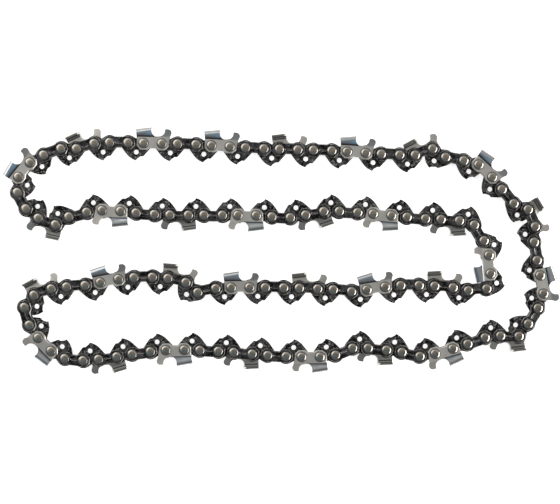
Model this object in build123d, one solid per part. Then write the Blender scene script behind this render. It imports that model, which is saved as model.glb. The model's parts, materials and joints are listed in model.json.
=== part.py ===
from build123d import *
import math
import os

# Chainsaw chain loop, lying on its side as it comes to rest.
# Each link set is a drive link with the strap pair in front of it and that pair's two rivets.
# Every second strap pair has a cutter on one side, and the cutters change sides along the chain.
# Millimetres, +Z up through the rivets, origin under the middle of the lay.
# A link's own axes: x along its travel, y away from the bar, z = 0 at the middle of the chain.

# Chain: the two rivet spacings together are two pitches
DRIVE_LINKS = 66
DRIVE_SPACING = 7.55
STRAP_SPACING = 8.96
NODE_LIMIT = 60
KINDS = ("right_cutter", "tie", "left_cutter", "tie")

# Across the chain: the drive link's thickness is the chain's gauge
DRIVE_THICKNESS = 1.3
STRAP_THICKNESS = 1.3
SIDE_PLAY = 0.1

# Rivet
HUB_R = 2.5
HUB_CLEARANCE = 0.05
NECK_R = 1.7
NECK_CLEARANCE = 0.02
HEAD_R = 2.3
HEAD_HEIGHT = 0.7
HEAD_RIM = 0.15
HEAD_FLAT_R = 1.3

# Drive link
LOBE_GAP = 1.16
SADDLE_ANGLE = 60
FRONT_EDGE_ANGLE = 50.5
REAR_EDGE_ANGLE = 52
REAR_STRAIGHT = 3.6
TANG_DEPTH = 8.4
TANG_TIP_X = 0.1
HEEL_DEPTH = 5.9
HEEL_STEP = 0.4
HOOK_WIDTH = 0.45
HOOK_RISE = 0.85
HOOK_NOTCH_X = 2.3
OIL_HOLE_R = 1.2
OIL_HOLE_X = 0.2
OIL_HOLE_DEPTH = 4.3

# Straps and cutter feet
END_GAP = 0.95
WAIST_TOP = 3.0
WAIST_BOTTOM = 2.1
WAIST_LENGTH = 2.4
WAIST_SLOPE_LENGTH = 1.6
TOP_SLOPE_LENGTH = 1.0
STRAP_BEVEL = 0.3
GROOVE_LENGTH = 3.4
GROOVE_WIDTH = 0.9
GROOVE_DEPTH = 0.15

# Cutter foot, and the depth gauge in front of its front rivet
FOOT_DEPTH = 3.2
FOOT_TOP = 3.4
FOOT_CORNER_R = 0.35
FOOT_FRONT = 3.85
DEPTH_GAUGE_FRONT = 4.55
DEPTH_GAUGE_LENGTH = 3.2
DEPTH_GAUGE_TOP = 7.0
DEPTH_GAUGE_SWELL = 4.9
DEPTH_GAUGE_NOSE_R = 1.7
DEPTH_GAUGE_HEEL_R = 0.35
DEPTH_GAUGE_ROOT_R = 3.0
DEPTH_GAUGE_BEND = 0.6

# Cutter tooth, from the rear rivet
TOOTH_OVERHANG = 3.9
TOOTH_LENGTH = 8.5
TOOTH_LEAN = 1.0
TOOTH_TOP = 8.05
TOP_FALL = 1.25
TOOTH_SET = 0.95
SET_TAPER = 0.3
SET_START = 3.0
SET_RISE = 0.8
SIDE_LEAN = 0.35
TOOTH_ROOT = 0.8
TOOTH_TOE = 1.6
TOP_THICKNESS = 1.0
TOP_REACH = 1.5
TOOTH_CORNER_R = 1.6
TOOTH_INNER_R = 0.6
FILE_R = 3.2
FILE_ANGLE = 20
FILE_DROP = 1.8
FILE_LENGTH = 32.0

# Lay: places that the rivet line passes as the chain lies, in the order of travel
ROUTE = [
    (-41, 52), (-8, 50), (25, 49), (57, 47), (66, 47), (74, 50), (80, 46), (97, 42), (108, 30), (114, 23),
    (121, 20), (124, 12), (123.5, 4), (126.5, -12), (128, -21), (120, -36), (115.5, -41.5), (107, -41),
    (99, -42), (91, -45), (67.5, -51), (59, -49), (43, -47), (35, -47), (26.5, -50.5), (2.5, -51),
    (-30, -48.5), (-56, -48), (-89, -52.5), (-97, -53), (-105, -52), (-112, -48), (-122, -36),
    (-124.5, -27), (-119.5, -21), (-111, -18), (-95, -16.5), (-79, -13.5), (-62, -12.5), (-46, -15),
    (-40, -20), (-31.5, -18), (-8, -17.5), (25, -18.5), (34, -19.5), (58, -16.5), (83.5, -17.5),
    (91.5, -19), (100.5, -18), (102.3, -10.6), (101.5, -1.8), (94.3, 13), (87, 15), (70, 16), (37, 19),
    (21, 19.5), (5, 16.5), (-11.5, 17.5), (-61, 18), (-86.5, 20), (-102.5, 17), (-109.5, 13), (-124, 21),
    (-128, 29), (-127.5, 36), (-122, 43), (-115, 47), (-107, 50), (-99, 50), (-91, 52.5), (-58, 52.5),
]
CURVE_STEPS = 16
LAY_SCALE_RANGE = (0.5, 2.0)
HALVINGS = 50

# Worked out from the sizes above
half_drive = DRIVE_SPACING / 2
half_strap = STRAP_SPACING / 2
lobe_r = (STRAP_SPACING - LOBE_GAP) / 2
strap_end_r = (DRIVE_SPACING - END_GAP) / 2
end_corner = strap_end_r * math.tan(math.pi / 8)
strap_inner = DRIVE_THICKNESS / 2 + SIDE_PLAY
strap_outer = strap_inner + STRAP_THICKNESS
head_top = strap_outer + HEAD_HEIGHT
tooth_side = strap_outer + TOOTH_SET
hub_hole_r = HUB_R + HUB_CLEARANCE
neck_hole_r = NECK_R + NECK_CLEARANCE


def polar(centre, radius, angle):
    """Place at a radius and an angle in degrees round a centre."""
    turn = math.radians(angle)
    return (centre[0] + radius * math.cos(turn), centre[1] + radius * math.sin(turn))


def plate(corners):
    """Flat outline from its corners, each given as x, y and a corner radius."""
    places = [(x, y) for x, y, _ in corners]
    radii = [radius for _, _, radius in corners]
    return make_face(FilletPolyline(*places, radius=radii, close=True))


def with_radius(places, radius):
    """The places as corners that share one radius."""
    return [(x, y, radius) for x, y in places]


def rivet_holes(spacing, radius):
    """Two round holes, one at each rivet."""
    return Pos(-spacing / 2, 0) * Circle(radius) + Pos(spacing / 2, 0) * Circle(radius)


def make_drive_link():
    """Stamped link with two round lobes and a hooked tang that runs in the bar."""
    rear = (-half_drive, 0)
    front = (half_drive, 0)
    rear_touch = polar(rear, lobe_r, 270 - REAR_EDGE_ANGLE)
    rear_bend = polar(rear_touch, REAR_STRAIGHT, -REAR_EDGE_ANGLE)
    rear_way = polar((0, 0), 1, -REAR_EDGE_ANGLE)
    front_touch = polar(front, lobe_r, FRONT_EDGE_ANGLE - 90)
    edge_run = (HEEL_DEPTH + front_touch[1]) / math.sin(math.radians(FRONT_EDGE_ANGLE))
    heel = polar(front_touch, edge_run, 180 + FRONT_EDGE_ANGLE)
    heel_foot = (heel[0] - HEEL_STEP, heel[1] - HEEL_STEP)
    tip = (TANG_TIP_X, -TANG_DEPTH)
    hook = (TANG_TIP_X + HOOK_WIDTH, HOOK_RISE - TANG_DEPTH)
    notch = (HOOK_NOTCH_X, heel_foot[1])
    tang = make_face([
        Line(rear, rear_touch),
        Line(rear_touch, rear_bend),
        TangentArc(rear_bend, tip, tangent=rear_way),
        Line(tip, hook),
        Line(hook, notch),
        Line(notch, heel_foot),
        Line(heel_foot, heel),
        Line(heel, front_touch),
        Line(front_touch, front),
        Line(front, rear),
    ])
    saddle_rear = polar(rear, lobe_r, SADDLE_ANGLE)
    saddle_front = polar(front, lobe_r, 180 - SADDLE_ANGLE)
    saddle_depth = saddle_front[0] / math.tan(math.radians(SADDLE_ANGLE))
    saddle = make_face(Polyline(rear, saddle_rear, (0, saddle_rear[1] - saddle_depth), saddle_front, front,
                                close=True))
    outline = tang + saddle + Pos(*rear) * Circle(lobe_r) + Pos(*front) * Circle(lobe_r)
    outline -= rivet_holes(DRIVE_SPACING, hub_hole_r)
    outline -= Pos(OIL_HOLE_X, -OIL_HOLE_DEPTH) * Circle(OIL_HOLE_R)
    return extrude(outline, amount=DRIVE_THICKNESS / 2, both=True)


def lower_edge(bottom):
    """Underside of a strap from its rear end to its front end: cut corners and a waist that arches up."""
    slope = WAIST_LENGTH / 2 + WAIST_SLOPE_LENGTH
    front_half = [
        (WAIST_LENGTH / 2, -WAIST_BOTTOM), (slope, -bottom), (half_strap + end_corner, -bottom),
        (half_strap + strap_end_r, -end_corner),
    ]
    return [(-x, y) for x, y in reversed(front_half)] + front_half


def upper_edge():
    """Top of a tie strap from its front end to its rear end, with a low waist between the rivets."""
    waist_end = half_strap - end_corner - TOP_SLOPE_LENGTH
    front_half = [
        (half_strap + strap_end_r, end_corner), (half_strap + end_corner, strap_end_r),
        (half_strap - end_corner, strap_end_r), (waist_end, WAIST_TOP),
    ]
    return front_half + [(-x, y) for x, y in reversed(front_half)]


def make_tie_strap():
    """Plain strap on the upper side, with eight-sided ends, a bevelled face and a pressed groove."""
    outline = make_face(Polyline(*lower_edge(strap_end_r), *upper_edge(), close=True))
    strap = Pos(0, 0, strap_inner) * extrude(outline, amount=STRAP_THICKNESS)
    strap = chamfer(strap.faces().sort_by(Axis.Z)[-1].edges(), STRAP_BEVEL)
    groove = extrude(SlotOverall(GROOVE_LENGTH, GROOVE_WIDTH), amount=GROOVE_DEPTH)
    strap -= Pos(0, 0, strap_outer - GROOVE_DEPTH) * groove
    return strap - extrude(rivet_holes(STRAP_SPACING, neck_hole_r), amount=head_top)


def make_foot():
    """Flat lower part of a cutter, between its rear end and its leaning front edge."""
    front_top = (half_strap + FOOT_FRONT, FOOT_TOP)
    rear_top = (-half_strap - strap_end_r, FOOT_TOP)
    lower = with_radius(lower_edge(FOOT_DEPTH), FOOT_CORNER_R)
    outline = plate(lower + with_radius([front_top, rear_top], 0))
    foot = Pos(0, 0, strap_inner) * extrude(outline, amount=STRAP_THICKNESS)
    face = foot.faces().sort_by(Axis.Z)[-1]
    rim = [edge for edge in face.edges() if edge.center().Y < FOOT_TOP - STRAP_BEVEL]
    return chamfer(rim, STRAP_BEVEL)


def make_depth_gauge():
    """Rounded nose in front of the tooth, leaning out from the middle of the chain."""
    front = half_strap + DEPTH_GAUGE_FRONT
    rear = front - DEPTH_GAUGE_LENGTH
    root = rear - DEPTH_GAUGE_ROOT_R
    base = FOOT_TOP - DEPTH_GAUGE_ROOT_R
    nose = plate([
        (rear, base, 0), (half_strap + strap_end_r, base, 0), (half_strap + FOOT_FRONT, FOOT_TOP, 0),
        (front, DEPTH_GAUGE_SWELL, 0), (front, DEPTH_GAUGE_TOP, DEPTH_GAUGE_NOSE_R),
        (rear, DEPTH_GAUGE_TOP, DEPTH_GAUGE_HEEL_R),
    ])
    hollow = make_face(Polyline((root, base), (rear, base), (rear, FOOT_TOP + DEPTH_GAUGE_ROOT_R),
                                (root, FOOT_TOP + DEPTH_GAUGE_ROOT_R), close=True))
    hollow -= Pos(root, FOOT_TOP + DEPTH_GAUGE_ROOT_R) * Circle(DEPTH_GAUGE_ROOT_R)
    bend = [(base, 0), (FOOT_TOP, 0), (DEPTH_GAUGE_TOP, DEPTH_GAUGE_BEND)]
    section = make_face(Polyline(*[(y, strap_inner + z) for y, z in bend],
                                 *[(y, strap_outer + z) for y, z in reversed(bend)], close=True))
    bent_plate = extrude(Plane.YZ.offset(root) * section, amount=front - root)
    return extrude(nose + hollow, amount=head_top, both=True) & bent_plate


def tooth_section(x, top, side_set):
    """Bent section of the tooth across the chain: outward set, leaning side plate and top plate."""
    inner = strap_inner + side_set
    outer = strap_outer + side_set
    under = top - TOP_THICKNESS
    set_end = SET_START + SET_RISE
    base = FOOT_TOP - TOOTH_ROOT
    section = plate([
        (base, strap_inner, 0), (SET_START, strap_inner, 0), (set_end, inner - SIDE_LEAN, 0),
        (under, inner, TOOTH_INNER_R), (under, -TOP_REACH, 0), (top, -TOP_REACH, 0),
        (top, outer, TOOTH_CORNER_R), (set_end, outer - SIDE_LEAN, 0),
        (SET_START, strap_outer, 0), (base, strap_outer, 0),
    ])
    return Plane.YZ.offset(x) * section


def make_tooth():
    """Tooth that falls away to the rear, with a front filed round and at an angle."""
    rear = -half_strap - TOOTH_OVERHANG
    tip = rear + TOOTH_LENGTH
    past_tip = TOOTH_TOE / TOOTH_LENGTH
    blank = loft([
        tooth_section(rear, TOOTH_TOP - TOP_FALL, TOOTH_SET - SET_TAPER),
        tooth_section(tip + TOOTH_TOE, TOOTH_TOP + TOP_FALL * past_tip, TOOTH_SET),
    ], ruled=True)
    heel = make_face(Polyline((rear, TOOTH_TOP - TOP_FALL), (rear, 0), (rear + TOOTH_LEAN, 0), close=True))
    file_x = tip + math.sqrt(FILE_R**2 - FILE_DROP**2)
    file_place = Location((file_x, TOOTH_TOP - FILE_DROP, tooth_side), (0, FILE_ANGLE, 0))
    return blank - extrude(heel, amount=tooth_side, both=True) - file_place * Cylinder(FILE_R, FILE_LENGTH)


def make_cutter():
    """Cutter on the upper side: foot, depth gauge and filed tooth in one piece."""
    holes = extrude(rivet_holes(STRAP_SPACING, neck_hole_r), amount=head_top)
    return make_foot() + make_depth_gauge() + make_tooth() - holes


def make_rivet():
    """Rivet with a hub that the drive link turns on, a neck in each strap and a domed head outside."""
    dome_foot = (HEAD_R, strap_outer + HEAD_RIM)
    upper = make_face([
        Polyline((0, 0), (HUB_R, 0), (HUB_R, strap_inner), (NECK_R, strap_inner), (NECK_R, strap_outer),
                 (HEAD_R, strap_outer), dome_foot),
        TangentArc((HEAD_FLAT_R, head_top), dome_foot, tangent=(1, 0)),
        Polyline((HEAD_FLAT_R, head_top), (0, head_top), (0, 0)),
    ])
    half = revolve(Plane.XZ * upper, Axis.Z)
    return half + mirror(half, about=Plane.XY)


def lay_curve():
    """Closed smooth curve through the places of the lay, as a fine run of places."""
    curve = []
    count = len(ROUTE)
    for i in range(count):
        around = [ROUTE[(i + k) % count] for k in (-1, 0, 1, 2)]
        before, span, after = (math.sqrt(math.dist(around[k], around[k + 1])) for k in (0, 1, 2))
        for step in range(CURVE_STEPS):
            t = step / CURVE_STEPS
            place = []
            for a, b, c, d in zip(*around):
                leave = span * ((b - a) / before - (c - a) / (before + span) + (c - b) / span)
                arrive = span * ((c - b) / span - (d - b) / (span + after) + (d - c) / after)
                cubic = 2 * b - 2 * c + leave + arrive
                square = 3 * c - 3 * b - 2 * leave - arrive
                place.append(((cubic * t + square) * t + leave) * t + b)
            curve.append(tuple(place))
    return curve


def between(first, second, share):
    """Place at a share of the way between two places."""
    return tuple(a + (b - a) * share for a, b in zip(first, second))


def walk(curve, chords):
    """Rivets stepped along the curve by straight chords, and how many times round they go."""
    count = len(curve)
    here = curve[0]
    index = 0
    rivets = [here]
    for chord in chords:
        while math.dist(here, curve[(index + 1) % count]) < chord:
            index += 1
        first = curve[index % count]
        second = curve[(index + 1) % count]
        low = 0.0
        high = 1.0
        for _ in range(HALVINGS):
            share = (low + high) / 2
            if math.dist(here, between(first, second, share)) < chord:
                low = share
            else:
                high = share
        here = between(first, second, share)
        rivets.append(here)
    return rivets, (index + share) / count


def lay_rivets():
    """Rivets of the closed loop, with the lay drawn at the size that takes every link."""
    curve = lay_curve()
    low, high = LAY_SCALE_RANGE
    for _ in range(HALVINGS):
        scale = (low + high) / 2
        rivets, turns = walk(curve, [DRIVE_SPACING / scale, STRAP_SPACING / scale] * DRIVE_LINKS)
        if turns > 1:
            low = scale
        else:
            high = scale
    return [(x * scale, y * scale) for x, y in rivets]


def placed(piece, label, first, second):
    """Copy of a link piece laid between two rivets."""
    x, y = between(first, second, 1 / 2)
    turn = math.degrees(math.atan2(second[1] - first[1], second[0] - first[0]))
    copy = piece.moved(Location((x, y, middle_height), (0, 0, turn)))
    copy.label = label
    return copy


def link_set(index):
    """Drive link, strap pair and two rivets of one set, where they lie."""
    rear, middle, front = rivets[2 * index:2 * index + 3]
    upper, lower = straps[KINDS[index % len(KINDS)]]
    return [
        placed(drive_link, "drive_link", rear, middle),
        placed(upper, "upper_strap", middle, front),
        placed(lower, "lower_strap", middle, front),
        placed(rivet, "rear_rivet", middle, middle),
        placed(rivet, "front_rivet", front, front),
    ]


def node_sets():
    """Link sets by node: one to a node, and two where the chain has more sets than nodes."""
    spare = DRIVE_LINKS - NODE_LIMIT
    joined = [round((k + 1) * DRIVE_LINKS / spare) - 1 for k in range(spare)]
    groups = []
    for index in range(DRIVE_LINKS):
        if index in joined:
            groups[-1].append(index)
        else:
            groups.append([index])
    return groups


def node_name(group):
    """Name of a node from the straps that it holds and the number of its first set."""
    kinds = "_and_".join(KINDS[index % len(KINDS)] for index in group)
    return f"{kinds}_set_{group[0] + 1:02d}"


drive_link = make_drive_link()
rivet = make_rivet()
tie_strap = make_tie_strap()
cutter = make_cutter()
middle_height = max(head_top, cutter.bounding_box().max.Z)
lower_tie_strap = mirror(tie_strap, about=Plane.XY)
straps = {
    "tie": (tie_strap, lower_tie_strap),
    "right_cutter": (cutter, lower_tie_strap),
    "left_cutter": (tie_strap, mirror(cutter, about=Plane.XY)),
}
rivets = lay_rivets()
nodes = {
    node_name(group): Compound(children=[piece for index in group for piece in link_set(index)])
    for group in node_sets()
}
lay_centre = Compound(list(nodes.values())).bounding_box().center()
to_origin = Location((-lay_centre.X, -lay_centre.Y, 0))

os.makedirs("parts", exist_ok=True)
for name, node in nodes.items():
    export_step(node.moved(to_origin), f"parts/{name}.step")
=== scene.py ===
import json
import math

import bmesh
import bpy
from bpy.props import FloatProperty, FloatVectorProperty, IntProperty, PointerProperty
from mathutils import Matrix, Vector


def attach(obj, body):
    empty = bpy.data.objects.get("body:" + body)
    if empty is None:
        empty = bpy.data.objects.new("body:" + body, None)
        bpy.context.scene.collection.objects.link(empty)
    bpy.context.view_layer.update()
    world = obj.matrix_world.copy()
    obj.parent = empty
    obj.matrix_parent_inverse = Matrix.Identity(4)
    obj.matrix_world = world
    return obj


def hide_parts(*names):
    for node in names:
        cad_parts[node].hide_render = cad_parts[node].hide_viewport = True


bl_info = {
    "name": "Saw chain loop",
    "version": (1, 0, 0),
    "blender": (4, 5, 0),
    "location": "View3D > Sidebar > Chain",
    "description": "Models the links, cutters and rivets of a saw chain loop around its packed solids",
    "category": "Object",
}

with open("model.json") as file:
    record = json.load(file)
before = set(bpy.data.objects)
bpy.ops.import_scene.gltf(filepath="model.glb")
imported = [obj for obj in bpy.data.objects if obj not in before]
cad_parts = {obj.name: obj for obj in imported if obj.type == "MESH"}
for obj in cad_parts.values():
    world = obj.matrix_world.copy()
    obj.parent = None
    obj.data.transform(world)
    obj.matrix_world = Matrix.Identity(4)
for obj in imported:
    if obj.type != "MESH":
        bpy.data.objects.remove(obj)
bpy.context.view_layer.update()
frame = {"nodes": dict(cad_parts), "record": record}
MM = 0.001

# Material slots that every shape shares
LINK, LINK_RIM, STRAP, STRAP_RIM, PLATE, PLATE_RIM, GAUGE, TOOTH, FILED, INSIDE, RIVET = range(11)

# Place of each point in its own link's axes, in millimetres
SHAPE_PLACE = "shape_place"

# Points nearer than this are one point, and faces within this angle are one face
SAME_PLACE = 0.001 * MM
SAME_ANGLE = 0.01

# How upright the normal of a flat is at least, and that of a wall at most
FLAT = 0.999
WALL = 0.5

HOLE_SIDES = 16
WHITE = (1.0, 1.0, 1.0)


# Sizes and colours

def length(name, description, millimetres):
    """Property for a length, shown in the scene's unit."""
    return FloatProperty(name=name, description=description, default=millimetres * MM, min=0.0, precision=5,
                         subtype="DISTANCE", unit="LENGTH")


def colour(name, description, red, green, blue):
    """Property for a colour."""
    return FloatVectorProperty(name=name, description=description, default=(red, green, blue), size=3,
                               min=0.0, max=1.0, subtype="COLOR")


class ChainLinkSizes(bpy.types.PropertyGroup):
    """Sizes of the plain links."""
    drive_spacing: length("Drive spacing", "Rivet to rivet on a drive link", 7.55)
    strap_spacing: length("Strap spacing", "Rivet to rivet on a strap", 8.96)
    drive_thickness: length("Drive link thickness", "The chain's gauge", 1.3)
    strap_thickness: length("Strap thickness", "Plate of straps and cutters", 1.3)
    side_play: length("Side play", "Gap between drive link and strap", 0.1)
    lobe_radius: length("Lobe radius", "Round ends of a drive link", 3.9)
    strap_end: length("Strap end", "From the rivet to the flats of a strap's end", 3.3)
    tang_depth: length("Tang depth", "From the rivets to the tip of the tang", 8.4)
    oil_hole_radius: length("Oil hole radius", "Hole in the tang", 1.2)
    strap_bevel: length("Strap bevel", "Bevel round a strap's face", 0.3)
    link_bevel: length("Link bevel", "Broken edge round a drive link", 0.12)


class ChainCutterSizes(bpy.types.PropertyGroup):
    """Sizes of the cutters."""
    foot_depth: length("Foot depth", "From the rivets down to the foot's edge", 3.2)
    foot_top: length("Foot top", "From the rivets up to the gullet", 3.4)
    gauge_top: length("Depth gauge top", "Height of the depth gauge above the rivets", 7.0)
    gauge_bend: length("Depth gauge bend", "How far the depth gauge leans out", 0.6)
    tooth_top: length("Tooth top", "Height of the tooth's tip above the rivets", 8.05)
    tooth_length: length("Tooth length", "From the tooth's heel to its tip", 8.5)
    top_fall: length("Top fall", "How far the top plate falls to the rear", 1.25)
    tooth_set: length("Tooth set", "How far the tooth's side stands out", 0.95)
    corner_radius: length("Tooth corner", "Round corner from side plate to top plate", 1.6)
    file_radius: length("File radius", "Round file that cut the tooth's face", 3.2)
    file_angle: FloatProperty(name="File angle", description="Angle of the filed face across the chain",
                              default=math.radians(20), subtype="ANGLE", unit="ROTATION")


class ChainRivetSizes(bpy.types.PropertyGroup):
    """Sizes of the rivets."""
    hub_radius: length("Hub radius", "Part that the drive link turns on", 2.5)
    neck_radius: length("Neck radius", "Part inside a strap", 1.7)
    head_radius: length("Head radius", "Outside of the domed head", 2.3)
    head_height: length("Head height", "How far the head stands proud", 0.7)
    flat_radius: length("Flat radius", "Flat middle of the head", 1.3)
    hub_play: length("Hub play", "Gap between the hub and a drive link", 0.05)
    neck_play: length("Neck play", "Gap between the neck and a strap", 0.02)
    steps: IntProperty(name="Steps", description="Sides of a turned rivet", default=16, min=8)


class ChainFinishes(bpy.types.PropertyGroup):
    """Colours of the steel."""
    link: colour("Drive link", "Blackened steel of the drive links", 0.050, 0.048, 0.047)
    strap: colour("Tie strap", "Blackened steel of the tie straps", 0.044, 0.043, 0.045)
    rim: colour("Worn rim", "Steel that shows along worn edges", 0.29, 0.28, 0.265)
    plate: colour("Cutter plate", "Satin plating of the cutters", 0.60, 0.58, 0.535)
    tooth: colour("Tooth plating", "Bright plating of the teeth", 0.80, 0.81, 0.81)
    # Tooth bend is painted shade: the plating made darker and bluer in the bend below the tooth
    bend: colour("Tooth bend", "Dark plating in the bend below a tooth", 0.42, 0.46, 0.50)
    filed: colour("Filed steel", "Bare steel where a tooth is filed", 0.70, 0.69, 0.67)
    rivet: colour("Rivet head", "Polished steel of the rivet heads", 0.53, 0.50, 0.45)


class ChainStage(bpy.types.PropertyGroup):
    """Camera, floor and lights."""
    view_width: length("View width", "Width of the floor that the picture shows", 273.9)
    view_x: FloatProperty(name="View X", description="Middle of the picture", default=-0.3 * MM,
                          subtype="DISTANCE")
    view_y: FloatProperty(name="View Y", description="Middle of the picture", default=-0.6 * MM,
                          subtype="DISTANCE")
    lens: FloatProperty(name="Lens", description="Focal length", default=85.0, subtype="DISTANCE_CAMERA")
    floor: colour("Floor", "Pale table", 0.9, 0.9, 0.9)
    bright_side: colour("Bright side", "Room at the left, with the windows", 1.0, 1.0, 0.98)
    overhead: colour("Overhead", "Room straight above the chain", 0.30, 0.26, 0.24)
    high_side: colour("High side", "Upper windows beyond the chain", 0.50, 0.50, 0.49)
    near_side: colour("Near side", "Room on the viewer's side", 0.15, 0.26, 0.36)
    low_side: colour("Low side", "Room low down on the viewer's side", 0.17, 0.17, 0.17)
    far_side: colour("Far side", "Room beyond the chain", 0.36, 0.36, 0.36)


# Drawing with bmesh

class Pen:
    """Draws an outline on the flat: straight lines, and arcs spun from the last point."""

    def __init__(self, bm, x, y):
        self.bm = bm
        self.first = bm.verts.new((x, y, 0))
        self.tip = self.first

    def line(self, *places):
        for x, y in places:
            vert = self.bm.verts.new((x, y, 0))
            self.bm.edges.new((self.tip, vert))
            self.tip = vert
        return self

    def arc(self, x, y, angle, steps):
        made = bmesh.ops.spin(self.bm, geom=[self.tip], cent=(x, y, 0), axis=(0, 0, 1), angle=angle,
                              steps=steps)
        self.tip = next(item for item in made["geom_last"] if isinstance(item, bmesh.types.BMVert))
        return self

    def close(self):
        self.bm.edges.new((self.tip, self.first))


def polar(centre, radius, angle):
    """Place at a radius and an angle in degrees round a centre."""
    turn = math.radians(angle)
    return (centre[0] + radius * math.cos(turn), centre[1] + radius * math.sin(turn))


def draw_hole(bm, x, y, radius):
    """Round hole inside an outline."""
    bmesh.ops.create_circle(bm, segments=HOLE_SIDES, radius=radius, matrix=Matrix.Translation((x, y, 0)))


def everything(bm):
    """Points, edges and faces of a shape."""
    return bm.verts[:] + bm.edges[:] + bm.faces[:]


def thicken(bm, low, high):
    """Fills the outlines and their holes, and gives them thickness."""
    bmesh.ops.triangle_fill(bm, use_beauty=True, edges=bm.edges[:])
    bmesh.ops.dissolve_limit(bm, angle_limit=SAME_ANGLE, verts=bm.verts[:], edges=bm.edges[:])
    made = bmesh.ops.extrude_face_region(bm, geom=bm.faces[:])
    lifted = [item for item in made["geom"] if isinstance(item, bmesh.types.BMVert)]
    bmesh.ops.translate(bm, verts=bm.verts[:], vec=(0, 0, low))
    bmesh.ops.translate(bm, verts=lifted, vec=(0, 0, high - low))
    bmesh.ops.recalc_face_normals(bm, faces=bm.faces[:])


def rim_edges(bm, z, keep):
    """Edges round a plate's flat face at one height, where keep agrees."""
    found = []
    for edge in bm.edges:
        if len(edge.link_faces) != 2 or any(abs(vert.co.z - z) > SAME_PLACE for vert in edge.verts):
            continue
        walls = [face for face in edge.link_faces if abs(face.normal.z) < WALL]
        middle = (edge.verts[0].co + edge.verts[1].co) / 2
        if len(walls) == 1 and keep(middle):
            found.append(edge)
    return found


def beyond_rivets(place, half, radius):
    """Whether a place on a link is further than a radius from both of its rivets."""
    return math.hypot(abs(place.x) - half, place.y) > radius


def break_rim(bm, z, width, slot, keep):
    """Bevels a plate's rim and gives the bevel its own finish."""
    made = bmesh.ops.bevel(bm, geom=rim_edges(bm, z, keep), offset=width, offset_type="OFFSET",
                           affect="EDGES", segments=1, profile=0.5, material=-1, clamp_overlap=True)
    for face in made["faces"]:
        face.material_index = slot


def set_finish(bm, slot):
    """Gives every face of a shape one finish."""
    for face in bm.faces:
        face.material_index = slot


def drawn_mesh(bm, name):
    """Mesh of a drawn shape, whose drawing is cleared away."""
    mesh = bpy.data.meshes.new(name)
    bm.to_mesh(mesh)
    bm.free()
    return mesh


def add_object(name, data):
    """Object in the scene for a mesh, a lamp or a camera."""
    made = bpy.data.objects.new(name, data)
    bpy.context.collection.objects.link(made)
    return made


def keep_shape(bm, name):
    """Stores a shape with smooth sides, and with each point's place in its own axes beside it."""
    place = bm.verts.layers.float_vector.new(SHAPE_PLACE)
    for vert in bm.verts:
        vert[place] = vert.co / MM
    for face in bm.faces:
        face.smooth = abs(face.normal.z) < FLAT
    drawn_mesh(bm, name)


def turn_over(bm):
    """Mirrors a shape from the upper side of the chain to the lower side."""
    bmesh.ops.scale(bm, vec=(1, 1, -1), verts=bm.verts[:])
    bmesh.ops.reverse_faces(bm, faces=bm.faces[:])


def keep_pair(bm, name):
    """Stores a shape for the upper side, and its mirror image for the lower side."""
    lower = bm.copy()
    turn_over(lower)
    keep_shape(lower, f"{name}_lower")
    keep_shape(bm, f"{name}_upper")


# Shapes

def strap_span(links):
    """Inner and outer face of a strap above the middle of the chain."""
    inner = links.drive_thickness / 2 + links.side_play
    return inner, inner + links.strap_thickness


class CHAIN_OT_drive_link(bpy.types.Operator):
    """Shape the stamped drive link with its hooked tang and oil hole"""
    bl_idname = "chain.drive_link"
    bl_label = "Drive link"

    rear_edge_angle = 52
    front_edge_angle = 50.5
    saddle_angle = 60
    rear_straight = 3.6 * MM
    tip_x = 0.1 * MM
    heel_depth = 5.9 * MM
    heel_step = 0.4 * MM
    hook = (0.45 * MM, 0.85 * MM)
    notch_x = 2.3 * MM
    oil_hole = (0.2 * MM, -4.3 * MM)
    rim_reach = 0.3 * MM
    lobe_steps = 9
    tang_steps = 4

    def execute(self, context):
        links = context.scene.chain_links
        half = links.drive_spacing / 2
        radius = links.lobe_radius
        rear, front = (-half, 0), (half, 0)
        touch_rear = polar(rear, radius, 270 - self.rear_edge_angle)
        bend = polar(touch_rear, self.rear_straight, -self.rear_edge_angle)
        touch_front = polar(front, radius, self.front_edge_angle - 90)
        run = (self.heel_depth + touch_front[1]) / math.sin(math.radians(self.front_edge_angle))
        heel = polar(touch_front, run, 180 + self.front_edge_angle)
        foot = (heel[0] - self.heel_step, heel[1] - self.heel_step)
        tip = (self.tip_x, -links.tang_depth)
        saddle_rear = polar(rear, radius, self.saddle_angle)
        saddle_front = polar(front, radius, 180 - self.saddle_angle)
        saddle = (0, saddle_rear[1] - saddle_front[0] / math.tan(math.radians(self.saddle_angle)))

        bm = bmesh.new()
        pen = Pen(bm, *saddle_rear)
        pen.arc(*rear, math.radians(270 - self.rear_edge_angle - self.saddle_angle), self.lobe_steps)
        pen.line(bend)
        side = Vector(polar((0, 0), 1, 90 - self.rear_edge_angle))
        chord = Vector(tip) - Vector(bend)
        reach = chord.length_squared / (2 * chord.dot(side))
        centre = Vector(bend) + side * reach
        sweep = 2 * math.asin(chord.length / (2 * reach))
        pen.arc(*centre, sweep, self.tang_steps)
        pen.line((tip[0] + self.hook[0], tip[1] + self.hook[1]), (self.notch_x, foot[1]), foot, heel)
        pen.line(touch_front)
        pen.arc(*front, math.radians(270 - self.front_edge_angle - self.saddle_angle), self.lobe_steps)
        pen.line(saddle).close()
        draw_hole(bm, *self.oil_hole, links.oil_hole_radius)
        rivets = context.scene.chain_rivets
        for end in (rear, front):
            draw_hole(bm, *end, rivets.hub_radius + rivets.hub_play)
        face = links.drive_thickness / 2
        thicken(bm, -face, face)
        set_finish(bm, LINK)
        # The drive link's bevel is dark like the link, and painted shade where its lobes show beside the
        # straps
        for z in (-face, face):
            break_rim(bm, z, links.link_bevel, LINK_RIM,
                      lambda middle: beyond_rivets(middle, half, radius - self.rim_reach))
        keep_shape(bm, "drive_link")
        return {"FINISHED"}


def scratch_object(bm, name):
    """Object for a shape that a modifier works on."""
    return add_object(name, drawn_mesh(bm, name))


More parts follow.
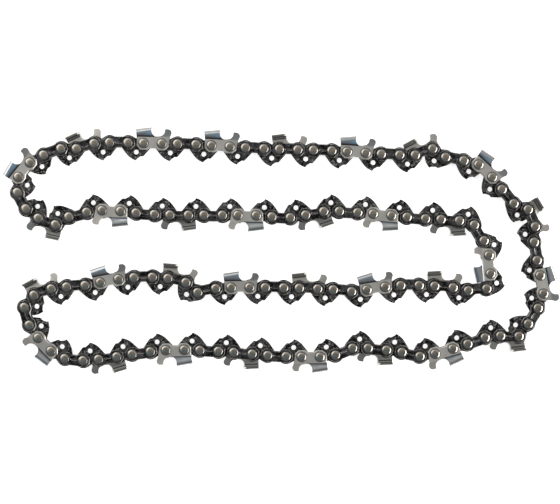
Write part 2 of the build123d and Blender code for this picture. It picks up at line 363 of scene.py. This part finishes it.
def combine(base, tool, operation):
    """Joins one shape to another, or cuts it out of it, and clears the tool away."""
    step = base.modifiers.new(operation, "BOOLEAN")
    step.operation = operation
    step.object = tool
    step.solver = "EXACT"
    step.material_mode = "INDEX"
    solved = bpy.data.meshes.new_from_object(base.evaluated_get(bpy.context.evaluated_depsgraph_get()))
    base.modifiers.clear()
    base.data = solved
    bpy.data.objects.remove(tool)


def taken_back(made):
    """Shape of a scratch object, which is cleared away."""
    bm = bmesh.new()
    bm.from_mesh(made.data)
    bpy.data.objects.remove(made)
    bmesh.ops.remove_doubles(bm, verts=bm.verts[:], dist=SAME_PLACE)
    return bm


def end_corner(links):
    """Half of one side of a strap's eight-sided end."""
    return links.strap_end * math.tan(math.pi / 8)


def strap_lower_edge(links, bottom):
    """Underside of a strap from its rear end to its front end: cut corners and a waist that arches up."""
    waist, waist_end, slope = 2.1 * MM, 1.2 * MM, 2.8 * MM
    half = links.strap_spacing / 2
    corner = end_corner(links)
    front = [(waist_end, -waist), (slope, -bottom), (half + corner, -bottom),
             (half + links.strap_end, -corner)]
    return [(-x, y) for x, y in reversed(front)] + front


class CHAIN_OT_tie_strap(bpy.types.Operator):
    """Shape the plain strap with eight-sided ends and a pressed groove"""
    bl_idname = "chain.tie_strap"
    bl_label = "Tie strap"

    waist_top = 3.0 * MM
    waist_slope = 1.0 * MM
    groove_half = 1.25 * MM
    groove_radius = 0.45 * MM
    groove_depth = 0.15 * MM
    groove_slope = 0.28 * MM
    groove_steps = 6

    def groove(self, top):
        """Pressed groove as a shape to cut away, with sloped sides in pale steel that paint a highlight
        along the groove.
        """
        bm = bmesh.new()
        half, radius = self.groove_half, self.groove_radius
        pen = Pen(bm, -half, -radius).line((half, -radius))
        pen.arc(half, 0, math.pi, self.groove_steps).line((-half, radius))
        pen.arc(-half, 0, math.pi, self.groove_steps)
        bmesh.ops.remove_doubles(bm, verts=bm.verts[:], dist=SAME_PLACE)
        thicken(bm, top - self.groove_depth, top + self.groove_depth)
        spread = self.groove_slope / radius
        for vert in bm.verts:
            spine = Vector((max(-half, min(half, vert.co.x)), 0))
            share = 1 - spread if vert.co.z < top else 1 + spread
            vert.co.xy = spine + (vert.co.xy - spine) * share
        # The sloped sides take the strap's pale edge steel: a painted highlight along each side of the
        # groove
        set_finish(bm, STRAP_RIM)
        for face in bm.faces:
            if face.normal.z < -FLAT:
                face.material_index = STRAP
        return bm

    def execute(self, context):
        links, rivets = context.scene.chain_links, context.scene.chain_rivets
        inner, outer = strap_span(links)
        half, end = links.strap_spacing / 2, links.strap_end
        corner = end_corner(links)
        front = [(half + end, corner), (half + corner, end), (half - corner, end),
                 (half - corner - self.waist_slope, self.waist_top)]
        places = strap_lower_edge(links, end) + front + [(-x, y) for x, y in reversed(front)]
        bm = bmesh.new()
        Pen(bm, *places[0]).line(*places[1:]).close()
        for x in (-half, half):
            draw_hole(bm, x, 0, rivets.neck_radius + rivets.neck_play)
        thicken(bm, inner, outer)
        set_finish(bm, STRAP)
        break_rim(bm, outer, links.strap_bevel, STRAP_RIM,
                  lambda middle: beyond_rivets(middle, half, rivets.head_radius))
        strap = scratch_object(bm, "tie_strap")
        combine(strap, scratch_object(self.groove(outer), "groove"), "DIFFERENCE")
        keep_pair(taken_back(strap), "tie_strap")
        return {"FINISHED"}


class CHAIN_OT_rivet(bpy.types.Operator):
    """Turn the rivet with its hub, necks and domed heads"""
    bl_idname = "chain.rivet"
    bl_label = "Rivet"

    rim = 0.15 * MM
    dome_steps = 3

    def execute(self, context):
        links, rivets = context.scene.chain_links, context.scene.chain_rivets
        inner, outer = strap_span(links)
        bm = bmesh.new()
        profile = [(rivets.hub_radius, 0), (rivets.hub_radius, inner), (rivets.neck_radius, inner),
                   (rivets.neck_radius, outer), (rivets.head_radius, outer)]
        rise, run = rivets.head_height - self.rim, rivets.head_radius - rivets.flat_radius
        for step in range(self.dome_steps + 1):
            turn = math.pi / 2 * step / self.dome_steps
            profile.append((rivets.flat_radius + run * math.cos(turn),
                            outer + self.rim + rise * math.sin(turn)))
        profile.append((0, outer + rivets.head_height))
        verts = [bm.verts.new((x, 0, z)) for x, z in profile]
        edges = [bm.edges.new(pair) for pair in zip(verts, verts[1:])]
        bmesh.ops.spin(bm, geom=verts + edges, cent=(0, 0, 0), axis=(0, 0, 1), angle=math.tau,
                       steps=rivets.steps, use_merge=True)
        bmesh.ops.mirror(bm, geom=everything(bm), axis="Z", merge_dist=SAME_PLACE)
        bmesh.ops.remove_doubles(bm, verts=bm.verts[:], dist=SAME_PLACE)
        bmesh.ops.recalc_face_normals(bm, faces=bm.faces[:])
        set_finish(bm, RIVET)
        keep_shape(bm, "rivet")
        return {"FINISHED"}


class CHAIN_OT_cutter(bpy.types.Operator):
    """Shape the cutter: foot, depth gauge, and a filed tooth with a rounded corner"""
    bl_idname = "chain.cutter"
    bl_label = "Cutter"

    foot_front = 3.85 * MM
    gauge_front = 4.55 * MM
    gauge_length = 3.2 * MM
    gauge_swell = 4.9 * MM
    gauge_nose = 1.7 * MM
    gauge_heel = 0.35 * MM
    root_radius = 3.0 * MM
    foot_corner = 0.35 * MM
    overhang = 3.9 * MM
    lean = 1.0 * MM
    toe = 1.6 * MM
    set_start = 3.0 * MM
    set_rise = 0.8 * MM
    set_taper = 0.3 * MM
    buried = 0.15 * MM
    root = 0.8 * MM
    top_thickness = 1.0 * MM
    top_reach = 1.5 * MM
    side_lean = 0.35 * MM
    inner_radius = 0.6 * MM
    file_drop = 1.8 * MM
    file_length = 32 * MM
    file_sides = 48
    rim_stop = 0.2 * MM
    inside_facing = -0.2

    @classmethod
    def ends(cls, links, cutter):
        """Places of the tooth's heel and tip along the chain."""
        rear = -links.strap_spacing / 2 - cls.overhang
        return rear, rear + cutter.tooth_length

    def foot(self, links, cutter, rivets):
        """Foot and depth gauge as one plate, with the gauge leaning out."""
        inner, outer = strap_span(links)
        half, end = links.strap_spacing / 2, links.strap_end
        front = half + self.gauge_front
        rear = front - self.gauge_length
        lower = strap_lower_edge(links, cutter.foot_depth)
        upper = [(half + self.foot_front, cutter.foot_top), (front, self.gauge_swell),
                 (front, cutter.gauge_top), (rear, cutter.gauge_top), (rear, cutter.foot_top),
                 (-half - end, cutter.foot_top)]
        bm = bmesh.new()
        Pen(bm, *lower[0]).line(*lower[1:], *upper).close()
        bm.verts.ensure_lookup_table()
        count = len(lower)
        corners = list(bm.verts)
        rounds = [(corners[1:count - 1], self.foot_corner, 2), ([corners[count + 2]], self.gauge_nose, 5),
                  ([corners[count + 3]], self.gauge_heel, 2), ([corners[count + 4]], self.root_radius, 6)]
        for verts, radius, steps in rounds:
            for vert in verts:
                self.round_corner(bm, vert, radius, steps)
        for x in (-half, half):
            draw_hole(bm, x, 0, rivets.neck_radius + rivets.neck_play)
        thicken(bm, inner, outer)
        set_finish(bm, PLATE)
        # The cutter plate's bevel takes a lighter copy of the plating, a painted highlight
        break_rim(bm, outer, links.strap_bevel, PLATE_RIM,
                  lambda middle: middle.y < cutter.foot_top - self.rim_stop
                  and beyond_rivets(middle, half, rivets.head_radius))
        bmesh.ops.bisect_plane(bm, geom=everything(bm), plane_co=(0, cutter.foot_top, 0),
                               plane_no=(0, 1, 0))
        # Faces above the foot take the gauge's darker plating, painted shade for its bent face
        for face in bm.faces:
            if face.calc_center_median().y > cutter.foot_top:
                face.material_index = GAUGE
        for vert in bm.verts:
            over = max(0.0, vert.co.y - cutter.foot_top)
            vert.co.z += cutter.gauge_bend * over / (cutter.gauge_top - cutter.foot_top)
        return bm

    @staticmethod
    def round_corner(bm, vert, radius, steps):
        """Rounds one corner of an outline."""
        ways = [(edge.other_vert(vert).co - vert.co).normalized() for edge in vert.link_edges]
        cut = radius / math.tan(ways[0].angle(ways[1]) / 2)
        bmesh.ops.bevel(bm, geom=[vert], offset=cut, offset_type="OFFSET", affect="VERTICES",
                        segments=steps, profile=0.5, material=-1)

    def section(self, bm, x, top, side_set, links, cutter):
        """Bent section of the tooth across the chain, with its root sunk into the foot."""
        low_inner, low_outer = strap_span(links)
        inner, outer = low_inner + side_set, low_outer + side_set
        under = top - self.top_thickness
        set_end = self.set_start + self.set_rise
        base = cutter.foot_top - self.root
        sunk = self.buried * (side_set - self.side_lean) / self.set_rise
        places = [
            (base, low_inner + sunk),
            (self.set_start + self.buried, low_inner + sunk),
            (set_end, inner - self.side_lean),
            (under, inner),
            (under, -self.top_reach),
            (top, -self.top_reach),
            (top, outer),
            (set_end, outer - self.side_lean),
            (self.set_start - self.buried, low_outer - sunk),
            (base, low_outer - sunk),
        ]
        verts = [bm.verts.new((x, y, z)) for y, z in places]
        for number, vert in enumerate(verts):
            bm.edges.new((verts[number - 1], vert))
        inner_corner, outer_corner = verts[3], verts[6]
        self.round_corner(bm, inner_corner, self.inner_radius, 2)
        self.round_corner(bm, outer_corner, cutter.corner_radius, 8)

    def tooth(self, links, cutter):
        """Tooth between its heel and past its tip, before it is filed."""
        rear, tip = self.ends(links, cutter)
        heel_top = cutter.tooth_top - cutter.top_fall
        toe_top = cutter.tooth_top + cutter.top_fall * self.toe / cutter.tooth_length
        bm = bmesh.new()
        self.section(bm, rear, heel_top, cutter.tooth_set - self.set_taper, links, cutter)
        self.section(bm, tip + self.toe, toe_top, cutter.tooth_set, links, cutter)
        bmesh.ops.bridge_loops(bm, edges=bm.edges[:])
        bmesh.ops.holes_fill(bm, edges=[edge for edge in bm.edges if edge.is_boundary])
        heel = Vector((self.lean, -heel_top, 0)).normalized()
        cut = bmesh.ops.bisect_plane(bm, geom=everything(bm), plane_co=(rear, heel_top, 0),
                                     plane_no=(heel.y, -heel.x, 0), clear_outer=True)
        open_edges = [item for item in cut["geom_cut"] if isinstance(item, bmesh.types.BMEdge)]
        bmesh.ops.holes_fill(bm, edges=open_edges)
        bmesh.ops.recalc_face_normals(bm, faces=bm.faces[:])
        set_finish(bm, TOOTH)
        return bm

    @classmethod
    def file_axis(cls, tip, cutter):
        """Where the file's axis passes the tooth's side, along the chain and above the rivets."""
        ahead = math.sqrt(cutter.file_radius**2 - cls.file_drop**2)
        return tip + ahead, cutter.tooth_top - cls.file_drop

    def file(self, tip, cutter, side):
        """Round file that stands at an angle across the tooth."""
        bm = bmesh.new()
        bmesh.ops.create_cone(bm, cap_ends=True, segments=self.file_sides, radius1=cutter.file_radius,
                              radius2=cutter.file_radius, depth=self.file_length)
        place = Matrix.Translation((*self.file_axis(tip, cutter), side))
        bmesh.ops.transform(bm, matrix=place @ Matrix.Rotation(cutter.file_angle, 4, "Y"), verts=bm.verts[:])
        set_finish(bm, FILED)
        return bm

    def execute(self, context):
        links, cutter = context.scene.chain_links, context.scene.chain_cutter
        tip = self.ends(links, cutter)[1]
        side = strap_span(links)[1] + cutter.tooth_set
        body = scratch_object(self.tooth(links, cutter), "tooth")
        combine(body, scratch_object(self.file(tip, cutter, side), "file"), "DIFFERENCE")
        plate = scratch_object(self.foot(links, cutter, context.scene.chain_rivets), "cutter_plate")
        combine(plate, body, "UNION")
        bm = taken_back(plate)
        for face in bm.faces:
            if face.material_index == TOOTH and face.normal.z < self.inside_facing:
                face.material_index = INSIDE
        keep_pair(bm, "cutter")
        return {"FINISHED"}


# Laying the chain

# Upper and lower strap of each kind of link set, by the words in the node's name
STRAPS = {
    "tie": ("tie_strap_upper", "tie_strap_lower"),
    "right_cutter": ("cutter_upper", "tie_strap_lower"),
    "left_cutter": ("tie_strap_upper", "cutter_lower"),
}

# A head's flat lies within the first of its height, and points within the second are on one head
HEAD_LEVEL = 0.002 * MM
HEAD_WIDTH = 4 * MM


def node_number(name):
    """Number of the first link set in a node."""
    return int(name.rsplit("_", 1)[1])


def head_tops(node, height):
    """Middles of the rivet heads of a node, from the flats of their solids on the side with no cutter."""
    left = [vert.co.xy.copy() for vert in node.data.vertices if abs(vert.co.z - height) < HEAD_LEVEL]
    middles = []
    while left:
        near = [place for place in left if (place - left[0]).length < HEAD_WIDTH]
        left = [place for place in left if (place - left[0]).length >= HEAD_WIDTH]
        low = Vector((min(place.x for place in near), min(place.y for place in near)))
        high = Vector((max(place.x for place in near), max(place.y for place in near)))
        middles.append((low + high) / 2)
    return middles


def in_order(middles, last):
    """Rivets in the order of travel, each the nearest to the one before."""
    ordered = []
    while middles:
        last = min(middles, key=lambda place: (place - last).length)
        middles.remove(last)
        ordered.append(last)
    return ordered


def add_shape(bm, name, first, second, height):
    """Adds a stored shape between two rivets."""
    start = len(bm.verts)
    bm.from_mesh(bpy.data.meshes[name])
    bm.verts.ensure_lookup_table()
    way = second - first
    turn = math.atan2(way.y, way.x) if way.length else 0.0
    middle = (first + second) / 2
    place = Matrix.Translation((middle.x, middle.y, height)) @ Matrix.Rotation(turn, 4, "Z")
    bmesh.ops.transform(bm, matrix=place, verts=bm.verts[start:])


class CHAIN_OT_link_sets(bpy.types.Operator):
    """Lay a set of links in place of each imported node"""
    bl_idname = "chain.link_sets"
    bl_label = "Link sets"

    sharp_angle = 28

    def execute(self, context):
        links, rivets = context.scene.chain_links, context.scene.chain_rivets
        behaviour = frame["record"]["behaviour"]
        height = behaviour["joints"][0]["pos_m"][2]
        reach = strap_span(links)[1] + rivets.head_height
        finishes = chain_finishes(context.scene)
        names = sorted(frame["nodes"], key=node_number)
        plain_side = {name: height - reach if "right_cutter" in name else height + reach for name in names}
        middles = {name: head_tops(frame["nodes"][name], plain_side[name]) for name in names}
        first_heads = middles[names[0]]
        last = min(middles[names[-1]],
                   key=lambda place: min((place - other).length for other in first_heads))
        body_of = {node: body for body, nodes in behaviour["bodies"].items() for node in nodes}
        for name in names:
            ordered = in_order(middles[name], last)
            kinds = name.rsplit("_set_", 1)[0].split("_and_")
            bm = bmesh.new()
            for index, kind in enumerate(kinds):
                middle, front = ordered[2 * index:2 * index + 2]
                add_shape(bm, "drive_link", last, middle, height)
                for strap in STRAPS[kind]:
                    add_shape(bm, strap, middle, front, height)
                for rivet in (middle, front):
                    add_shape(bm, "rivet", rivet, rivet, height)
                last = front
            used = sorted({face.material_index for face in bm.faces})
            for face in bm.faces:
                face.material_index = used.index(face.material_index)
            mesh = drawn_mesh(bm, name)
            for slot in used:
                mesh.materials.append(finishes[slot])
            mesh.set_sharp_from_angle(angle=math.radians(self.sharp_angle))
            piece = add_object(f"{name}_links", mesh)
            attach(piece, body_of[name])
            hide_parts(name)
        return {"FINISHED"}


# Finishes

class Value:
    """A shader socket that Python's operators work on."""

    def __init__(self, nodes, socket):
        self.nodes = nodes
        self.socket = socket

    def math(self, operation, *values):
        return self.nodes.add("ShaderNodeMath", dict(enumerate(values)), operation=operation)

    def __add__(self, other):
        return self.math("ADD", self, other)

    def __sub__(self, other):
        return self.math("SUBTRACT", self, other)

    def __rsub__(self, other):
        return self.math("SUBTRACT", other, self)

    def __mul__(self, other):
        return self.math("MULTIPLY", self, other)

    __radd__ = __add__
    __rmul__ = __mul__

    def over(self, low, high):
        """Share of the way from low to high, held between 0 and 1."""
        return self.nodes.add("ShaderNodeMapRange", {0: self, 1: low, 2: high})

    def distance(self, other):
        """Distance from the middle of the point that has this and another coordinate."""
        return self.math("SQRT", self * self + other * other)

    def outputs(self, *names):
        """Values at other outputs of the same node."""
        return [Value(self.nodes, self.socket.node.outputs[name]) for name in names]


class Nodes:
    """The nodes of one material or world."""

    def __init__(self, owner):
        owner.use_nodes = True
        self.tree = owner.node_tree

    def feed(self, socket, value):
        """Links a value to a socket, or sets the socket to a number or colour."""
        if isinstance(value, Value):
            self.tree.links.new(value.socket, socket)
        else:
            socket.default_value = value

    def add(self, kind, inputs=None, output=0, **settings):
        """Adds a node: first its settings, then the values or links of its sockets."""
        made = self.tree.nodes.new(kind)
        for name, value in settings.items():
            setattr(made, name, value)
        for name, value in (inputs or {}).items():
            self.feed(made.inputs[name], value)
        return Value(self, made.outputs[output])

    def blend(self, share, first, second):
        """Mixes two colours by a share."""
        first, second = (tone if isinstance(tone, Value) else (*tone, 1.0) for tone in (first, second))
        return self.add("ShaderNodeMix", {0: share, 6: first, 7: second}, 2, data_type="RGBA")

    def bands(self, value, base, *bands):
        """Lays bands over a colour, each whole up to its first number and gone from its second."""
        for low, high, tone in bands:
            base = self.blend(value.over(low, high), tone, base)
        return base


class Finish(Nodes):
    """A material whose shader is fed socket by socket."""

    def __init__(self, name, **constants):
        self.material = bpy.data.materials.new(name)
        super().__init__(self.material)
        self.shader = self.tree.nodes["Principled BSDF"]
        for socket, value in constants.items():
            self.set(socket.replace("_", " "), value)

    def set(self, socket, value):
        """Feeds one socket of the shader."""
        self.feed(self.shader.inputs[socket], value)

    def place(self):
        """Place on the piece, in metres."""
        return self.add("ShaderNodeTexCoord", output="Object")

    def shape_place(self):
        """Place in the link's own axes, in millimetres."""
        return self.add("ShaderNodeAttribute", output="Vector", attribute_name=SHAPE_PLACE)

    def shape_axes(self):
        """Places along the link and up from its rivets, in millimetres."""
        return self.add("ShaderNodeSeparateXYZ", {"Vector": self.shape_place()}).outputs("X", "Y")

    def noise(self, scale, detail, roughness=0.5, place=None):
        """Noise with this many waves to a metre of the piece, or to a unit of another place."""
        return self.add("ShaderNodeTexNoise", {"Vector": place or self.place(), "Scale": scale,
                                               "Detail": detail, "Roughness": roughness}, "Fac")

    def bump(self, height, strength, distance):
        """Makes the surface uneven by a height, up to a distance in metres."""
        self.set("Normal", self.add("ShaderNodeBump", {"Height": height, "Strength": strength,
                                                       "Distance": distance}))


def shade(tone, factor):
    """A colour made lighter or darker."""
    return tuple(min(1.0, channel * factor) for channel in tone)


def around_rivets(finish, rivet_x):
    """Distance from the nearer of a strap's two rivets, in millimetres."""
    x, y = finish.shape_axes()
    return (x.math("ABSOLUTE", x) - rivet_x).distance(y)


def below_top(x, y, top):
    """Distance below a tooth's sloping top, in millimetres, from its height at the middle and its fall."""
    height, fall = top
    return height + fall * x - y


def blackened(name, tone, clean, rivet_x=None, head_radius=None):
    """Blackened, oiled steel with small pits and lighter specks, lighter in a ring round each rivet head as
    rubbed steel and a painted highlight.
    """
    finish = Finish(name, Metallic=0.75)
    mottle = finish.noise(350, 4.0)
    specks = finish.noise(1050, 2.0, 0.6)
    dark = finish.blend(mottle.over(0.42, 0.62), shade(tone, 0.05), shade(tone, 1.7))
    if rivet_x:
        away = around_rivets(finish, rivet_x)
        # A lighter ring round each rivet head: partly rubbed steel, partly a painted highlight
        dark = finish.bands(away, dark, (head_radius, head_radius + 0.4, shade(tone, 2.4)))
    finish.set("Base Color", finish.blend(specks.over(clean, clean + 0.1), dark, shade(tone, 6.5)))
    finish.set("Roughness", 0.32 + 0.25 * finish.noise(900, 3.0))
    finish.bump(specks + 0.5 * mottle, 0.35, 0.08 * MM)
    return finish.material


def worn(name, tone):
    """Steel along an edge where the dark finish has rubbed thin; on a strap's groove it also paints a
    highlight, and made dark on the drive links it is painted shade.
    """
    finish = Finish(name, Metallic=0.9)
    wear = finish.noise(700, 3.0)
    finish.set("Base Color", finish.blend(wear.over(0.4, 0.65), shade(tone, 0.45), shade(tone, 1.3)))
    finish.set("Roughness", 0.3 + 0.2 * wear)
    return finish.material


def satin_plate(name, tone, rivet_x, head_radius, dullness=0.38):
    """Satin plating with a fine grain, and a painted shadow in a ring round each rivet head."""
    finish = Finish(name, Metallic=1.0)
    cloud = finish.noise(160, 3.0)
    grain = finish.noise(5200, 2.0)
    away = around_rivets(finish, rivet_x)
    plating = finish.blend(cloud.over(0.3, 0.7), shade(tone, 0.9), shade(tone, 1.07))
    # Painted shadow: a dark ring just outside each rivet head
    head_shadow = (head_radius + 0.1, head_radius + 0.45, shade(tone, 0.25))
    finish.set("Base Color", finish.bands(away, plating, head_shadow))
    finish.set("Roughness", dullness + 0.14 * grain)
    finish.bump(grain, 0.15, 0.03 * MM)
    return finish.material


def tooth_plating(name, tones, top):
    """Bright plating with painted shade darkening it towards the bend, and along the top plate a painted
    dark edge, a pale line and a painted dark line.
    """
    finish = Finish(name, Metallic=1.0)
    x, y = finish.shape_axes()
    cloud = finish.noise(420, 3.0)
    plating = finish.blend(cloud.over(0.3, 0.7), shade(tones.tooth, 0.92), tones.tooth)
    # Painted shade: darker towards the tooth's root in the bend, and darkest in a painted line along the
    # root
    plating = finish.bands(y, plating, (3.9, 4.8, tones.bend), (3.5, 3.9, shade(tones.bend, 0.22)))
    # Painted shade along the top plate: a dark edge at the top, a pale line below it and a dark line under
    # that
    plating = finish.bands(below_top(x, y, top), plating, (1.1, 1.3, tones.bend),
                           (0.95, 1.05, shade(tones.tooth, 0.8)), (0.35, 0.5, shade(tones.tooth, 0.25)))
    finish.set("Base Color", plating)
    finish.set("Roughness", 0.12 + 0.08 * cloud)
    return finish.material


def tooth_inside(name, tone, top, file_place, file_radius):
    """Inside of the tooth: painted highlight and painted shade in bands below the top plate, and bright
    steel beside the filed front.
    """
    finish = Finish(name, Metallic=1.0)
    x, y = finish.shape_axes()
    grain = finish.noise(2400, 3.0)
    plating = finish.blend(grain.over(0.3, 0.7), shade(tone, 0.85), shade(tone, 1.05))
    # From the top plate down: a painted highlight on its edge, a painted dark band, a dimmer painted band
    # and a painted shadow line, then plain plating
    plating = finish.bands(below_top(x, y, top), plating,
                           (2.25, 2.45, shade(tone, 0.2)), (1.7, 1.85, shade(tone, 0.65)),
                           (0.8, 0.95, shade(tone, 0.35)), (0.3, 0.42, shade(tone, 1.15)))
    away = (x - file_place[0]).distance(y - file_place[1])
    filed = (file_radius + 0.9, file_radius + 1.15, shade(tone, 1.3))
    finish.set("Base Color", finish.bands(away, plating, filed))
    finish.set("Roughness", 0.34 + 0.14 * grain)
    finish.bump(grain, 0.15, 0.03 * MM)
    return finish.material


def filed_steel(name, tone):
    """Bare steel with the marks of a round file."""
    finish = Finish(name, Metallic=1.0)
    marks = finish.noise(6.0, 3.0, place=finish.shape_place())
    finish.set("Base Color", finish.blend(marks.over(0.35, 0.65), shade(tone, 0.8), shade(tone, 1.1)))
    finish.set("Roughness", 0.22 + 0.2 * marks)
    finish.bump(marks, 0.2, 0.04 * MM)
    return finish.material


def rivet_steel(name, tone):
    """Polished rivet head with turning rings and a middle painted darker as a painted dark reflection,
    tinted by heat.
    """
    tints = (1.26, 1.08, 1.02), (1.1, 1.16, 0.96)
    rings_to_mm = 22.0
    finish = Finish(name, Metallic=1.0)
    x, y = finish.shape_axes()
    radius = x.distance(y)
    smear = finish.noise(1500, 3.0)
    heat = finish.noise(700, 2.0).over(0.42, 0.58)
    pink, green = (tuple(channel * part for channel, part in zip(tone, tint)) for tint in tints)
    # The middle is painted darker: a painted dark reflection of the room above
    dull, clear = (finish.blend(heat, shade(pink, light), shade(green, light)) for light in (0.55, 0.9))
    middle = finish.blend(smear.over(0.3, 0.7), dull, clear)
    finish.set("Base Color", finish.bands(radius, tone, (1.1, 1.7, middle)))
    finish.set("Roughness", 0.1 + 0.14 * smear)
    finish.bump(radius.math("SINE", radius * rings_to_mm), 0.06, 0.03 * MM)
    return finish.material


def chain_finishes(scene):
    """Finishes in the order of the material slots."""
    tones, links, cutter = scene.chain_finishes, scene.chain_links, scene.chain_cutter
    around = links.strap_spacing / 2 / MM, scene.chain_rivets.head_radius / MM
    tip = CHAIN_OT_cutter.ends(links, cutter)[1]
    fall = cutter.top_fall / cutter.tooth_length
    top = (cutter.tooth_top - fall * tip) / MM, fall
    file_place = [place / MM for place in CHAIN_OT_cutter.file_axis(tip, cutter)]
    return {
        LINK: blackened("drive_link_steel", tones.link, 0.55),
        # Darkened edge steel: dark like the link, and painted shade where the lobes show beside the straps
        LINK_RIM: worn("drive_link_edge", shade(tones.rim, 0.2)),
        STRAP: blackened("tie_strap_steel", tones.strap, 0.62, *around),
        # Worn steel on the strap's bevel, and a painted highlight on the groove's sloped sides
        STRAP_RIM: worn("tie_strap_edge", tones.rim),
        PLATE: satin_plate("cutter_plate", tones.plate, *around),
        # A lighter copy of the plating on the bevel: a painted highlight
        PLATE_RIM: satin_plate("cutter_plate_edge", shade(tones.plate, 1.15), *around),
        # A darker copy of the plating on the depth gauge: painted shade for its bent face
        GAUGE: satin_plate("depth_gauge", shade(tones.plate, 0.9), *around, 0.26),
        TOOTH: tooth_plating("tooth_plating", tones, top),
        FILED: filed_steel("filed_face", tones.filed),
        INSIDE: tooth_inside("tooth_inside", shade(tones.plate, 0.9), top, file_place,
                             cutter.file_radius / MM),
        RIVET: rivet_steel("rivet_head", tones.rivet),
    }


# Stage

class CHAIN_OT_stage(bpy.types.Operator):
    """Set up the table, the studio light and the camera above the chain"""
    bl_idname = "chain.stage"
    bl_label = "Stage"

    sensor = 36.0
    floor_size = 3.0
    floor_glow = 0.8
    # Name, place, size and power of each lamp
    lamps = (
        ("key_light", (1.26, -0.32, 0.36), 1.4, 30.0),
        ("fill_light", (-0.60, 0.60, 0.80), 1.0, 2.0),
    )

    def floor(self, stage):
        """Pale table that is white to the camera and in the steel, and keeps a soft shadow."""
        bm = bmesh.new()
        bmesh.ops.create_grid(bm, x_segments=1, y_segments=1, size=self.floor_size / 2)
        made = add_object("table", drawn_mesh(bm, "table"))
        finish = Finish("table_white", Base_Color=(*stage.floor, 1.0), Roughness=0.9, Specular_IOR_Level=0.0)
        camera, glossy, through = finish.add("ShaderNodeLightPath").outputs(
            "Is Camera Ray", "Is Glossy Ray", "Is Transmission Ray")
        glow = finish.add("ShaderNodeEmission", {"Strength": self.floor_glow * (camera + glossy + through)})
        both = finish.add("ShaderNodeAddShader", {0: Value(finish, finish.shader.outputs[0]), 1: glow})
        finish.feed(finish.tree.nodes["Material Output"].inputs["Surface"], both)
        made.data.materials.append(finish.material)

    def room(self, stage):
        """Room with windows at the left and a dim near side, which the camera sees as white.

        The numbers are where one part of the room fades into the next, along a ray's direction.
        """
        world = bpy.data.worlds.new("room")
        bpy.context.scene.world = world
        nodes = Nodes(world)
        way = nodes.add("ShaderNodeTexCoord", output="Generated")
        x, y = nodes.add("ShaderNodeSeparateXYZ", {"Vector": way}).outputs("X", "Y")
        near = nodes.blend(y.over(-0.28, -0.18) * x.over(0.2, 0.1), stage.low_side, stage.near_side)
        above = nodes.blend(y.over(-0.09, -0.04), near, stage.overhead)
        far = nodes.blend(y.over(0.02, 0.1), above, stage.far_side)
        high = nodes.blend(y.over(0.24, 0.34) * x.over(0.55, 0.3), far, stage.high_side)
        windows = x.over(-0.26, -0.4) * (y + 0.6 * x).over(-0.36, -0.24)
        lit = nodes.blend(windows, high, stage.bright_side)
        seen = nodes.add("ShaderNodeLightPath", output="Is Camera Ray")
        nodes.feed(nodes.tree.nodes["Background"].inputs["Color"], nodes.blend(seen, lit, WHITE))

    def light(self, name, place, size, power):
        """Soft lamp that faces the middle of the table."""
        lamp = bpy.data.lights.new(name, "AREA")
        lamp.size = size
        lamp.energy = power
        made = add_object(name, lamp)
        made.location = place
        made.rotation_euler = (-Vector(place)).to_track_quat("-Z", "Y").to_euler()

    def execute(self, context):
        stage = context.scene.chain_stage
        self.floor(stage)
        self.room(stage)
        for lamp in self.lamps:
            self.light(*lamp)
        camera = bpy.data.cameras.new("camera")
        camera.lens = stage.lens
        camera.sensor_width = self.sensor
        made = add_object("camera", camera)
        made.location = (stage.view_x, stage.view_y, stage.view_width * stage.lens / self.sensor)
        context.scene.camera = made
        context.scene.view_settings.view_transform = "Standard"
        return {"FINISHED"}


class CHAIN_PT_panel(bpy.types.Panel):
    """Lists the steps that make the chain"""
    bl_idname = "CHAIN_PT_panel"
    bl_label = "Saw chain"
    bl_space_type = "VIEW_3D"
    bl_region_type = "UI"
    bl_category = "Chain"

    def draw(self, context):
        for step in STEPS:
            self.layout.operator(step.bl_idname)
        for group in GROUPS:
            settings = getattr(context.scene, group)
            for name in settings.bl_rna.properties.keys():
                if name not in ("name", "rna_type"):
                    self.layout.prop(settings, name)


STEPS = (CHAIN_OT_drive_link, CHAIN_OT_tie_strap, CHAIN_OT_rivet, CHAIN_OT_cutter, CHAIN_OT_link_sets,
         CHAIN_OT_stage)
GROUPS = {
    "chain_links": ChainLinkSizes,
    "chain_cutter": ChainCutterSizes,
    "chain_rivets": ChainRivetSizes,
    "chain_finishes": ChainFinishes,
    "chain_stage": ChainStage,
}


def register():
    for name, group in GROUPS.items():
        bpy.utils.register_class(group)
        setattr(bpy.types.Scene, name, PointerProperty(type=group))
    for cls in (*STEPS, CHAIN_PT_panel):
        bpy.utils.register_class(cls)


def unregister():
    for cls in (CHAIN_PT_panel, *reversed(STEPS)):
        bpy.utils.unregister_class(cls)
    for name, group in GROUPS.items():
        delattr(bpy.types.Scene, name)
        bpy.utils.unregister_class(group)


def main():
    register()
    bpy.ops.chain.drive_link()
    bpy.ops.chain.tie_strap()
    bpy.ops.chain.rivet()
    bpy.ops.chain.cutter()
    bpy.ops.chain.link_sets()
    bpy.ops.chain.stage()


if __name__ == "__main__":
    main()
